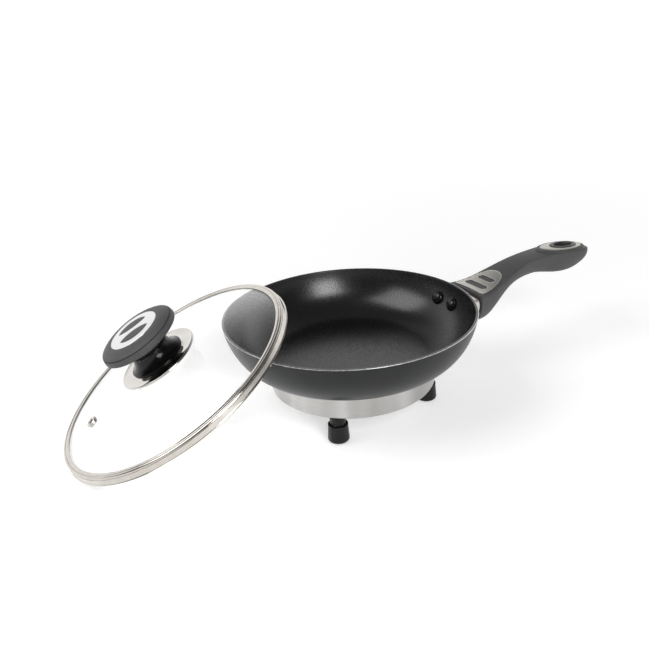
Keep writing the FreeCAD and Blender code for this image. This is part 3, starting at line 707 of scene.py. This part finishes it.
def vent_place():
    """Frame of the steam vent, which stands square on the glass."""
    slope = 2 * GLASS_RISE * VENT_R / GLASS_R ** 2
    spin = Matrix.Rotation(VENT_TURN, 4, "Z")
    lean = Matrix.Rotation(math.atan(slope), 4, "Y")
    return LID @ spin @ Matrix.Translation(Vector((VENT_R, 0, glass_top(VENT_R))) * MM) @ lean


def make_glass():
    """Dome of even thickness with a hole for the vent."""
    steps = 44
    radii = [GLASS_HOLE + (GLASS_R - GLASS_HOLE) * i / steps for i in range(steps + 1)]
    upper = [(r, dome_height(r)) for r in radii]
    lower = [(r, dome_height(r, -GLASS_THICK)) for r in reversed(radii)]
    glass = turned("lid_glass_dome", upper + lower, [LID], "lid", ["lid_glass"],
                   "clear_glass", 256)
    combine(glass, "DIFFERENCE", prism(vent_place(), oval(0, 3.5, 3.5, 48), -10, 10))


def make_band():
    """Channel rolled round the edge of the glass, with a groove outside and a crease in its lip."""
    foot = joined([(119.6, 1.5), (119.8, 1.32), (121.7, 1.32)],
                  arc3((121.7, 1.32), (121.9, 1.4), (121.95, 1.6), 3),
                  arc3((121.95, 1.9), (121.25, 2.3), (120.95, 3.2), 5))
    wall = [(120.85, 4.3), (120.72, 5.7), (120.62, 6.8)]
    groove = arc3((120.6, 6.9), (119.95, 7.4), (120.52, 7.9), 8)
    shoulder = arc3((120.52, 7.9), (119.8, 8.93), (118.4, 9.23), 8)
    crease = [(118.3, 9.1), (118.0, 8.72), (117.75, 8.68), (117.5, 9.05), (117.2, 9.28)]
    lip = [(116.3, 9.34), (115.4, 9.24)]
    hem = arc3((114.75, 9.22), (114.3, 9.05), (LIP_R, dome_height(LIP_R) + 0.1), 4)
    channel = [(GLASS_R + SKIN, GLASS_EDGE + SKIN), (GLASS_R + SKIN, 3.14),
               (UNDER_LIP_R, dome_height(UNDER_LIP_R, -GLASS_THICK - SKIN)), (UNDER_LIP_R, 3.8),
               (118.0, 2.85), (119.6, 2.85)]
    profile = joined(foot, wall, groove, shoulder, crease, lip, hem, channel)
    turned("lid_rolled_band", profile, [LID], "lid", ["lid_band"],
           "polished_stainless", 384, 40.0)


def make_vent():
    """Eyelet with a rounded flange above the glass and a small one below it."""
    profile = joined([(2.2, -5.0), (2.2, 0.6)], arc3((2.2, 0.6), (2.6, 1.05), (3.6, 1.1), 5),
                     arc3((3.6, 1.1), (5.2, 0.95), (5.6, 0.12), 6),
                     [(5.5, 0.1), (3.4, 0.1), (3.4, -4.2), (5.2, -4.2), (5.1, -4.8), (4.8, -5.0)])
    turned("vent_eyelet", profile, [vent_place()], "lid", ["steam_vent"],
           "polished_stainless", 64)


# ---------------------------------------------------------------- knob
DISC_TOP = 64.1              # middle of the silver disc on the knob
DISC_R = 24.1
LEAF_HALF = 14.5             # half the length of a leaf
LEAF_STEPS = 16              # faces across a leaf


def plate_profile():
    """Dished plate under the knob, with a rolled rim."""
    return joined([(2.7, 28.45), (8.0, 28.45)], arc3((8.0, 28.45), (24.0, 27.6), (37.0, 26.35), 16),
                  arc3((37.0, 26.35), (38.5, 27.4), (37.0, 28.6), 12),
                  arc3((37.0, 28.6), (32.0, 27.95), (26.2, 28.7), 14), [(14.0, 29.5), (2.7, 30.2)])


def stem_profile():
    """Stem that flares out to a bead at its foot."""
    return joined([(2.5, 30.25), (25.6, 28.85)], arc3((25.6, 28.85), (26.3, 29.6), (25.6, 30.3), 8),
                  arc3((25.6, 30.3), (20.6, 34.6), (19.4, 44.6), 20), [(2.5, 44.6)])


def cap_profile():
    """Wide cap with a fine groove round its side and a seat for the disc."""
    return joined([(0, 44.62), (19.4, 44.62)], arc3((19.4, 44.62), (25.0, 49.3), (35.2, 52.2), 18),
                  arc3((35.2, 52.2), (37.2, 53.2), (37.57, 55.2), 8), [(37.3, 56.7), (36.95, 58.1)],
                  arc3((36.95, 58.1), (36.8, 58.45), (36.4, 58.55), 3),
                  arc3((36.4, 58.5), (35.1, 58.85), (36.1, 59.35), 6),
                  arc3((36.1, 59.45), (31.0, 61.9), (24.6, 63.04), 16),
                  arc3((24.6, 63.04), (24.3, 63.0), (24.2, 62.8), 3), [(24.2, 62.1), (0, 62.1)])


def disc_height(r):
    """Height of the silver disc's crowned face."""
    return DISC_TOP - (r / DISC_R) ** 2


def disc_profile():
    """Thin crowned disc with a rounded edge."""
    return joined([(0, 62.1), (DISC_R, 62.1), (DISC_R, 62.9)],
                  arc3((DISC_R, 62.9), (23.9, 63.15), (23.5, 63.18), 4),
                  [(r, disc_height(r)) for r in (21, 18, 15, 12, 9, 6, 3, 0)])


def make_knob():
    """Plate, stem, cap and disc, each turned about the lid's own axis."""
    for name, profile, node, finish, segments in (
            ("knob_dished_plate", plate_profile(), "knob_skirt", "bright_chrome", 192),
            ("knob_flared_stem", stem_profile(), "knob_stem", "gloss_black", 160),
            ("knob_soft_cap", cap_profile(), "knob_cap", "soft_touch_black", 192),
            ("knob_silver_disc", disc_profile(), "knob_inlay", "silver_satin", 160)):
        turned(name, profile, [LID], "lid", [node], finish, segments)


def leaf_row(bm, near, far, side):
    """Points across a leaf, which rounds off towards both of its edges."""
    width = math.dist(near, far)
    row = []
    for k in range(LEAF_STEPS + 1):
        t = k / LEAF_STEPS
        x = near[0] + (far[0] - near[0]) * t
        y = near[1] + (far[1] - near[1]) * t
        inside = min(t, 1 - t) * width
        crown = 0.32 * math.sqrt(max(0.0, 1 - (1 - min(inside / 0.7, 1)) ** 2))
        h = disc_height(math.hypot(x, y)) - 0.3 + 0.25 * min(1, inside / 0.05) + crown
        row.append(bm.verts.new(LID @ (Vector((x, side * y, h)) * MM)))
    return row


def close_below(bm, depth):
    """Sides down from the open edges of a sheet, and a floor between them."""
    under = {}
    for edge in [e for e in bm.edges if len(e.link_faces) == 1]:
        for v in edge.verts:
            if v not in under:
                under[v] = bm.verts.new(v.co - LID.to_3x3() @ Vector((0, 0, depth * MM)))
        a, b = edge.verts
        bm.faces.new((a, b, under[b], under[a]))
    open_edges = [e for e in bm.edges if len(e.link_faces) == 1]
    bmesh.ops.holes_fill(bm, edges=open_edges, sides=0)


def make_leaves():
    """Two dark leaves with soft edges, a little proud of the silver disc."""
    bm = bmesh.new()
    for side in (-1, 1):
        near = arc3((-LEAF_HALF, 8.0), (0, 3.0), (LEAF_HALF, 8.0), 60)
        far = arc3((-LEAF_HALF, 8.0), (0, 17.0), (LEAF_HALF, 8.0), 60)
        rows = [leaf_row(bm, a, b, side) for a, b in zip(near[1:-1], far[1:-1])]
        for a, b in zip(rows, rows[1:]):
            for i in range(LEAF_STEPS):
                bm.faces.new((a[i], a[i + 1], b[i + 1], b[i]))
        for row in (rows[0], rows[-1]):
            bm.faces.new(row)
        close_below(bm, 1.0)
    finish_mesh("knob_raised_leaves", bm, "lid", ["knob_leaves"],
                "soft_touch_black", 50.0)


# ---------------------------------------------------------------- handle
STATIONS = (                 # (x, top, underside, half width) along the handle
    (137.5, 87.4, 53.6, 26.6), (146.5, 87.4, 53.8, 25.4), (156.0, 88.6, 57.3, 23.6),
    (166.0, 91.2, 65.2, 21.4), (178.0, 95.2, 75.0, 18.6), (192.0, 99.7, 82.0, 15.9),
    (208.0, 103.5, 85.1, 14.0), (224.0, 105.4, 85.4, 13.5), (240.0, 105.9, 82.5, 14.6),
    (256.0, 105.6, 79.4, 16.6), (272.0, 104.8, 79.7, 17.6), (285.0, 103.6, 83.5, 16.4),
    (295.0, 102.0, 89.0, 12.6), (301.0, 100.2, 94.0, 6.5),
)
STATION_X = [s[0] for s in STATIONS]
GRIP_START = 137.5
GRIP_END = 300.98
GRIP_CLOSES = 2.2            # length over which the grip's end rounds off
MOUTH_DEPTH = 16.5           # depth of the hollow that the bracket goes into
TOP_STEPS = 44               # faces across the grip's upper side
CROWN = 0.06                 # rise of the upper side, as a share of the half width
LOW_WIDTH = 0.74             # width of the underside, as a share of the full width
LOW_RISE = 0.135             # how far the underside curves up, as a share of the thickness

PAD_X = 266.5                # raised oval at the end of the handle
PAD_HALF = (33.0, 17.0)
PAD_RISE = 1.6
PAD_EDGE = 0.07              # share of the oval over which it rises
HOLE_X = 270.6               # hanging hole
SCREW_X = 196.0              # screw that holds the grip

SHIELD_FRONT = 140.9
SHIELD_SLOTS = ((151.6, 15.4, 4.2), (165.0, 11.4, 3.5))
BEAD = 0.32                  # radius of the bead along the shield's edges


def spline_slopes(xs, ys):
    """Second derivatives of the natural cubic spline through the points."""
    count = len(xs)
    second = [0.0] * count
    work = [0.0] * count
    for i in range(1, count - 1):
        span = xs[i + 1] - xs[i - 1]
        ratio = (xs[i] - xs[i - 1]) / span
        p = ratio * second[i - 1] + 2
        second[i] = (ratio - 1) / p
        work[i] = (ys[i + 1] - ys[i]) / (xs[i + 1] - xs[i]) - (ys[i] - ys[i - 1]) / (xs[i] - xs[i - 1])
        work[i] = (6 * work[i] / span - ratio * work[i - 1]) / p
    for i in range(count - 2, -1, -1):
        second[i] = second[i] * second[i + 1] + work[i]
    return second


SECOND = [spline_slopes(STATION_X, [s[k] for s in STATIONS]) for k in (1, 2, 3)]


def handle_at(x):
    """Top height, underside height and half width of the handle at x."""
    i = max(k for k in range(len(STATIONS) - 1) if STATION_X[k] <= x or k == 0)
    width = STATION_X[i + 1] - STATION_X[i]
    a = (STATION_X[i + 1] - x) / width
    b = 1 - a
    values = []
    for k, second in zip((1, 2, 3), SECOND):
        bend = ((a ** 3 - a) * second[i] + (b ** 3 - b) * second[i + 1]) * width ** 2 / 6
        values.append(a * STATIONS[i][k] + b * STATIONS[i + 1][k] + bend)
    return values


def handle_outline(x, shrink=0.0):
    """Closed outline across the handle as (y, z) points, with slightly rounded corners."""
    top, low, half = handle_at(x)
    half -= shrink
    top -= shrink
    low += shrink
    thick = top - low
    edge = top - CROWN * half
    low_half = LOW_WIDTH * half
    corner = low + LOW_RISE * thick
    waist = top - 0.42 * thick
    bulge = half * 1.02 + 0.2
    points = joined(arc3((-half, edge), (0, top), (half, edge), TOP_STEPS),
                    arc3((half, edge), (bulge, waist), (low_half, corner), 24),
                    arc3((low_half, corner), (0, low), (-low_half, corner), 28),
                    arc3((-low_half, corner), (-bulge, waist), (-half, edge), 24))
    for _ in range(2):
        before = points[-1:] + points[:-1]
        after = points[1:] + points[:1]
        points = [((a[0] + 2 * b[0] + c[0]) / 4, (a[1] + 2 * b[1] + c[1]) / 4)
                  for a, b, c in zip(before, points, after)]
    return points


def pad_rise(x, y):
    """Height of the raised oval at the end of the handle."""
    reach = 1 - math.hypot((x - PAD_X) / PAD_HALF[0], y / PAD_HALF[1])
    t = min(max(reach / PAD_EDGE, 0.0), 1.0)
    return PAD_RISE * t * t * (3 - 2 * t)


def handle_top(x, y):
    """Height of the handle's upper side, pad included."""
    top, _, half = handle_at(x)
    crown = CROWN * half
    radius = (half * half + crown * crown) / (2 * crown)
    return top - radius + math.sqrt(radius * radius - y * y) + pad_rise(x, y)


def handle_bottom(x, y):
    """Height of the handle's underside."""
    top, low, half = handle_at(x)
    return low + LOW_RISE * (top - low) * (y / (LOW_WIDTH * half)) ** 2


def grip_ring(bm, x):
    """Outline across the grip, which closes over the last stretch to its end."""
    top, low, _ = handle_at(x)
    middle = (top + low) / 2
    late = max(0.0, (x - (GRIP_END - GRIP_CLOSES)) / GRIP_CLOSES)
    squeeze = math.sqrt(max(0.0, 1 - late ** 2))
    ring = []
    for k, (y, z) in enumerate(handle_outline(x)):
        if k <= TOP_STEPS:
            z += pad_rise(x, y)
        ring.append(bm.verts.new(Vector((x, y * squeeze, middle + (z - middle) * squeeze)) * MM))
    return ring


def make_grip():
    """Hollow-mouthed moulding with the hanging hole and the hole over its screw."""
    bm = bmesh.new()
    xs = [GRIP_START + 0.25, GRIP_START + 0.7] + [GRIP_START + 1.5 + i for i in range(160)]
    xs += [GRIP_END - GRIP_CLOSES * (1 - math.sin(math.radians(a))) for a in (8, 20, 34, 48, 62, 74, 84)]
    rings = [grip_ring(bm, x) for x in xs]
    mouth = []
    for depth, shrink in ((MOUTH_DEPTH, 2.8), (0.25, 2.8), (0, 2.5), (0, 0.3)):
        x = GRIP_START + depth
        mouth.append([bm.verts.new(Vector((x, y, z)) * MM) for y, z in handle_outline(x, shrink)])
    loops = mouth + rings
    for a, b in zip(loops, loops[1:]):
        bridge(bm, a, b)
    for ring, x in ((loops[0], GRIP_START + MOUTH_DEPTH), (loops[-1], GRIP_END)):
        top, low, _ = handle_at(x)
        fan(bm, ring, bm.verts.new(Vector((x, 0, (top + low) / 2)) * MM))
    grip = finish_mesh("grip_moulded", bm, "pan", ["handle_grip"], "soft_touch_black")
    combine(grip, "DIFFERENCE", prism(UPRIGHT, oval(HOLE_X, 13.4, 8.4, 72), 60, 130))
    combine(grip, "DIFFERENCE", prism(UPRIGHT, oval(SCREW_X, 3.8, 3.8, 40), 70, 86))


def oval_rings(name, rows, replaced, finish):
    """Closed ring round the hanging hole. Each row is (centre x, half length, half width, height)."""
    bm = bmesh.new()
    loops = []
    for centre, along, across, height in rows:
        outline = oval(centre, along, across, 120)
        loops.append([bm.verts.new(Vector((x, y, height(x, y))) * MM) for x, y in outline])
    for k, loop in enumerate(loops):
        bridge(bm, loop, loops[(k + 1) % len(loops)])
    finish_mesh(name, bm, "pan", replaced, finish, 50.0)


def above(lift):
    """Height that far above the handle's upper side."""
    return lambda x, y: handle_top(x, y) + lift


def below(lift):
    """Height that far above the handle's underside."""
    return lambda x, y: handle_bottom(x, y) + lift


def make_end_trim():
    """Satin ring round the hanging hole, and the moulded rim inside it."""
    ring = [(267.2, 26.6, 14.2, above(-0.8)), (267.2, 26.6, 14.2, above(0.1)),
            (267.2, 26.35, 13.95, above(0.25)), (268.0, 23.6, 12.9, above(0.27)),
            (269.2, 20.6, 11.8, above(0.27)), (270.4, 17.4, 10.7, above(0.25)),
            (HOLE_X, 17.05, 10.45, above(0.15)), (HOLE_X, 17.05, 10.45, above(-0.8))]
    oval_rings("end_ring_satin", ring, ["handle_end_ring"], "pale_satin")
    rim = [(17.0, 10.4, above(-1.0)), (17.0, 10.4, above(0.4)), (16.6, 10.05, above(0.85)),
           (15.8, 9.4, above(1.05)), (14.4, 8.4, above(1.1)), (13.0, 7.4, above(1.0)),
           (12.0, 6.75, above(0.65)), (11.5, 6.45, above(0.0)), (11.4, 6.4, above(-2.0)),
           (11.4, 6.4, below(0.05)), (13.35, 8.35, below(0.05)), (13.35, 8.35, above(-1.0))]
    oval_rings("eyelet_rim", [(HOLE_X, *row) for row in rim], ["hanging_eyelet"],
               "eyelet_black")


def closed_curve(points, steps=12):
    """Smooth closed curve through the points."""
    count = len(points)
    out = []
    for i in range(count):
        p0, p1, p2, p3 = (points[(i + k) % count] for k in (-1, 0, 1, 2))
        for s in range(steps):
            t = s / steps
            out.append(tuple(0.5 * (2 * b + (c - a) * t + (2 * a - 5 * b + 4 * c - d) * t * t
                                    + (3 * b - a - 3 * c + d) * t ** 3)
                             for a, b, c, d in zip(p0, p1, p2, p3)))
    return out


def stadium(x, half_length, half_width, count=20):
    """Outline of a slot with round ends across the handle."""
    reach = half_length - half_width
    turns = [math.pi * i / count for i in range(count + 1)]
    points = [(x + half_width * math.cos(a), reach + half_width * math.sin(a)) for a in turns]
    return points + [(2 * x - px, -py) for px, py in points]


def edge_bead(bm, outline, radius, lift):
    """Fine round bead along a closed outline on the handle's upper side."""
    count = len(outline)
    turns = [math.tau * k / 8 for k in range(8)]
    loops = []
    for i, (x, y) in enumerate(outline):
        before, after = outline[i - 1], outline[(i + 1) % count]
        dx, dy = after[0] - before[0], after[1] - before[1]
        size = math.hypot(dx, dy)
        side = Vector((-dy / size, dx / size, 0))
        centre = Vector((x, y, handle_top(x, y) + lift))
        loops.append([bm.verts.new((centre + side * radius * math.cos(a)
                                    + Vector((0, 0, radius * math.sin(a)))) * MM) for a in turns])
    for i, loop in enumerate(loops):
        bridge(bm, loop, loops[(i + 1) % count])


def handle_sheet(bm, xs, ys, upper, lower):
    """Closed sheet that follows the handle's upper side between two lifts."""
    top, low = ([[bm.verts.new(Vector((x, y, handle_top(x, y) + lift)) * MM) for y in ys] for x in xs]
                for lift in (upper, lower))
    for grid in (top, low):
        for a, b in zip(grid, grid[1:]):
            for i in range(len(ys) - 1):
                bm.faces.new((a[i], a[i + 1], b[i + 1], b[i]))
    bridge(bm, *(border(grid) for grid in (top, low)))


def border(grid):
    """Vertices round the outside of a grid, in order."""
    down = [row[-1] for row in grid[1:-1]]
    back = [row[0] for row in grid[-2:0:-1]]
    return grid[0] + down + grid[-1][::-1] + back


def make_shield():
    """Pale plate with two plain slots, and the bright bead along its edges."""
    side = [(SHIELD_FRONT, 0), (SHIELD_FRONT, 9.0), (SHIELD_FRONT, 17.6), (SHIELD_FRONT + 1.6, 20.8),
            (SHIELD_FRONT + 6.0, 21.4), (159.5, 18.9), (170.5, 14.8), (177.2, 8.6), (179.4, 0)]
    outline = closed_curve(side + [(x, -y) for x, y in side[-2:0:-1]])
    slots = [stadium(*slot) for slot in SHIELD_SLOTS]
    bm = bmesh.new()
    handle_sheet(bm, [139.0 + 0.8 * i for i in range(53)], [-23.0 + i for i in range(47)], 0.5, -0.9)
    plate = finish_mesh("shield_plate", bm, "pan", ["handle_inlay_plate"], "pale_satin")
    combine(plate, "INTERSECT", prism(UPRIGHT, outline, 60, 130))
    for slot in slots:
        combine(plate, "DIFFERENCE", prism(UPRIGHT, slot, 60, 120))
    bm = bmesh.new()
    for line in (outline, *slots):
        edge_bead(bm, line, BEAD, 0.46)
    # the bead's paler finish is a painted highlight along the plate's edges
    finish_mesh("shield_edges", bm, "pan", ["handle_inlay_plate"], "bright_edge", 60.0)


make_pan()
make_rivets()
make_feet()
make_glass()
make_band()
make_vent()
make_knob()
make_leaves()
make_grip()
make_end_trim()
make_shield()


# ---------------------------------------------------------------- floor, light and camera
FLOOR_HALF = 90.0            # metres, so that the floor's edge lies on the horizon
FLOOR_DROP = 0.0001          # metres below the feet
GLOW_REACH = (0.35, 1.6)     # metres from the object between which the glow grows
GLOW = (0.4, 0.77)


def floor_finish():
    """White that glows evenly far out, and less near the object, where its shadow shows."""
    f = Finish("floor_white", grey(0.8), 0.9, Specular_IOR_Level=0.1)
    f.shader.inputs["Emission Color"].default_value = (1.0, 1.0, 1.0, 1.0)
    distance = f.nodes.new("ShaderNodeVectorMath")
    distance.operation = "LENGTH"
    f.link(f.place, distance.inputs[0])
    glow = f.span(distance.outputs["Value"], *GLOW_REACH, *GLOW)
    f.link(glow, f.shader.inputs["Emission Strength"])
    return f.material


def make_floor():
    """White table, lit from within like a light table, that runs on to the horizon."""
    bm = bmesh.new()
    corners = ((-1, -1), (1, -1), (1, 1), (-1, 1))
    bm.faces.new([bm.verts.new((x * FLOOR_HALF, y * FLOOR_HALF, -FLOOR_DROP)) for x, y in corners])
    floor = place_object("floor", as_mesh("floor", bm))
    floor.data.materials.append(floor_finish())


SCREEN_GREYS = ((0.0, 1.0), (0.38, 1.0), (0.55, 0.6), (0.75, 0.15), (1.0, 0.12))
ROOM_GREYS = ((0.0, 0.85), (0.1, 0.55), (0.26, 0.07), (0.7, 0.09), (1.0, 0.12))
SCREEN_SIDE = (0.41, 0.91, 0.0)
SCREEN_FADE = (-0.1, 0.5)    # share of the way to the screen's side between which it takes over
WORLD_STRENGTH = 1.2
LAMP_TARGET = (0.0, 0.0, 0.06)


def area_lamp(name, where, size, power):
    """Soft rectangular lamp that looks at the object."""
    data = bpy.data.lights.new(name, "AREA")
    data.shape = "RECTANGLE"
    data.size, data.size_y = size
    data.energy = power
    lamp = place_object(name, data)
    lamp.location = where
    lamp.rotation_mode = "QUATERNION"
    lamp.rotation_quaternion = (Vector(LAMP_TARGET) - Vector(where)).to_track_quat("-Z", "Y")


def make_world():
    """A bright screen behind the object and a dim room on the viewer's side.

    Each is a ramp of greys from the horizon up to the zenith.
    """
    world = bpy.data.worlds.new("studio")
    bpy.context.scene.world = world
    world.use_nodes = True
    nodes = world.node_tree.nodes
    links = world.node_tree.links
    place = nodes.new("ShaderNodeTexCoord").outputs["Generated"]
    split = nodes.new("ShaderNodeSeparateXYZ")
    links.new(place, split.inputs["Vector"])
    towards = nodes.new("ShaderNodeVectorMath")
    towards.operation = "DOT_PRODUCT"
    towards.inputs[1].default_value = SCREEN_SIDE
    links.new(place, towards.inputs[0])
    side = nodes.new("ShaderNodeMapRange")
    side.interpolation_type = "SMOOTHSTEP"
    side.inputs["From Min"].default_value, side.inputs["From Max"].default_value = SCREEN_FADE
    links.new(towards.outputs["Value"], side.inputs["Value"])
    mix = nodes.new("ShaderNodeMix")
    mix.data_type = "RGBA"
    links.new(side.outputs["Result"], mix.inputs["Factor"])
    for greys, socket in ((ROOM_GREYS, "A"), (SCREEN_GREYS, "B")):
        ramp = colour_ramp(nodes, [(height, grey(value)) for height, value in greys])
        links.new(split.outputs["Z"], ramp.inputs["Fac"])
        links.new(ramp.outputs["Color"], mix.inputs[socket])
    links.new(mix.outputs["Result"], nodes["Background"].inputs["Color"])
    nodes["Background"].inputs["Strength"].default_value = WORLD_STRENGTH


def make_camera():
    """Camera at the photograph's viewing angle, set by the directions of its own axes."""
    data = bpy.data.cameras.new("camera")
    data.lens = 40.19
    data.sensor_width = 36.0
    data.clip_start = 0.02
    data.clip_end = 200.0
    right = Vector((0.87788, -0.47446, -0.06488))
    up = Vector((0.24543, 0.32945, 0.91172))
    back = Vector((-0.41120, -0.81630, 0.40566))
    turn = Matrix((right, up, back)).transposed()
    camera = place_object("camera", data)
    camera.matrix_world = Matrix.Translation((-0.30572, -0.55381, 0.36505)) @ turn.to_4x4()
    bpy.context.scene.camera = camera


make_floor()
make_world()
make_camera()
area_lamp("left_softbox", (-1.05, 0.22, 1.19), (1.1, 1.1), 13.0)
area_lamp("right_softbox", (-0.11, -1.29, 0.80), (0.6, 0.8), 13.0)
bpy.context.scene.view_settings.view_transform = "Standard"
